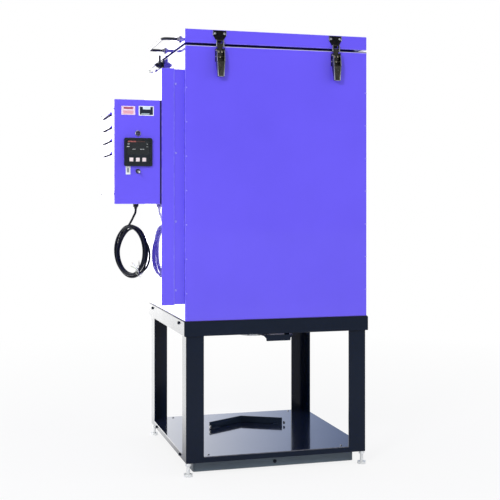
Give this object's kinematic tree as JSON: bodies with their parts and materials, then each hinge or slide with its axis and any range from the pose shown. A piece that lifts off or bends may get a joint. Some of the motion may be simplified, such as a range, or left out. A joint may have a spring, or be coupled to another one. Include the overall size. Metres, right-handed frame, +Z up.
{
  "type": "flux drying oven",
  "caption": "Insulated flux drying oven on an angle-iron stand, with a hinged lid, draw latches, a bottom hopper with a slide gate, a side control box and a coiled cord.",
  "frame": {"origin": "on the floor, under the middle of the whole oven without its cord", "axes": "+Z up, +Y towards the hinged back, +X towards the plain right side as seen from the front"},
  "size_m": [0.924, 0.718, 1.548],
  "materials": {
    "body_blue": "gloss",
    "stand_paint": "satin",
    "shelf_black": "gloss",
    "plinth_grey": "satin",
    "stainless": "brushed",
    "zinc_steel": "zinc plated",
    "latch_metal": "burnished",
    "black_enamel": "semi-gloss",
    "black_plastic": "matte",
    "lamp_lens": "gloss",
    "rope_seal": "woven",
    "inner_panel": "brushed",
    "cord_rubber": "satin"
  },
  "bodies": {
    "oven": {"back_wall": "body_blue", "base_plate": "body_blue", "bottom_rail_back": "stand_paint", "bottom_rail_front": "stand_paint", "bottom_rail_left": "stand_paint", "bottom_rail_right": "stand_paint", "cable_gland": "black_plastic", "control_box": "body_blue", "control_box_cover": "body_blue", "cord_coil": "cord_rubber", "front_wall": "body_blue", "gate_runners": "stand_paint", "hinge_body_leaves": "zinc_steel", "hopper": "stainless", "housing_base": "body_blue", "housing_cover": "body_blue", "latch_base_left": "latch_metal", "latch_base_right": "latch_metal", "left_wall": "body_blue", "levelling_feet": "zinc_steel", "outlet_neck": "stainless", "outlet_spout": "stainless", "pail_stop": "black_enamel", "pilot_lamp": "lamp_lens", "plinth": "plinth_grey", "power_cord": "cord_rubber", "right_wall": "body_blue", "rim_frame": "body_blue", "shelf": "shelf_black", "side_clamp_bracket": "black_enamel", "stand_leg_back_left": "stand_paint", "stand_leg_back_right": "stand_paint", "stand_leg_front_left": "stand_paint", "stand_leg_front_right": "stand_paint", "switch_bush": "zinc_steel", "temperature_controller": "black_plastic", "top_rail_back": "stand_paint", "top_rail_front": "stand_paint", "top_rail_left": "stand_paint", "top_rail_right": "stand_paint"},
    "lid": {"lid_shell": "body_blue", "lid_plug": "inner_panel", "lid_gasket": "rope_seal", "hinge_lid_leaves": "zinc_steel", "lid_side_handle": "black_enamel", "lid_keepers": "latch_metal"},
    "gate": {"slide_gate": "stand_paint"},
    "clamp_lever": {"side_clamp_lever": "black_enamel"},
    "power_switch": {"switch_bat": "zinc_steel"},
    "left_latch_lever": {"latch_lever_left": "latch_metal"},
    "left_latch_link": {"latch_link_left": "latch_metal"},
    "right_latch_lever": {"latch_lever_right": "latch_metal"},
    "right_latch_link": {"latch_link_right": "latch_metal"}
  },
  "joints": [
    {"name": "lid_hinge", "type": "hinge", "parent": "oven", "child": "lid", "pos_m": [0.122, 0.353, 1.497], "axis": [-1, 0, 0], "range_deg": [0, 100]},
    {"name": "left_latch", "type": "hinge", "parent": "oven", "child": "left_latch_lever", "pos_m": [-0.092, -0.345, 1.475], "axis": [-1, 0, 0], "range_deg": [0, 110]},
    {"name": "left_latch_link", "type": "hinge", "parent": "left_latch_lever", "child": "left_latch_link", "pos_m": [-0.092, -0.34, 1.454], "axis": [-1, 0, 0], "range_deg": [-121, 0]},
    {"name": "right_latch", "type": "hinge", "parent": "oven", "child": "right_latch_lever", "pos_m": [0.336, -0.345, 1.475], "axis": [-1, 0, 0], "range_deg": [0, 110]},
    {"name": "right_latch_link", "type": "hinge", "parent": "right_latch_lever", "child": "right_latch_link", "pos_m": [0.336, -0.34, 1.454], "axis": [-1, 0, 0], "range_deg": [-121, 0]},
    {"name": "gate_slide", "type": "slide", "parent": "oven", "child": "gate", "axis": [0, -1, 0], "range_m": [0, 0.12]},
    {"name": "side_clamp", "type": "hinge", "parent": "oven", "child": "clamp_lever", "pos_m": [-0.2275, 0.071, 1.475], "axis": [-1, 0, 0], "range_deg": [0, 90]},
    {"name": "switch_throw", "type": "hinge", "parent": "oven", "child": "power_switch", "pos_m": [-0.3755, -0.3313, 1.055], "axis": [-1, 0, 0], "range_deg": [0, 24]}
  ],
  "couplings": [
    {"joint": "left_latch_link", "follows": "left_latch", "ratio": -1.1},
    {"joint": "right_latch_link", "follows": "right_latch", "ratio": -1.1}
  ]
}
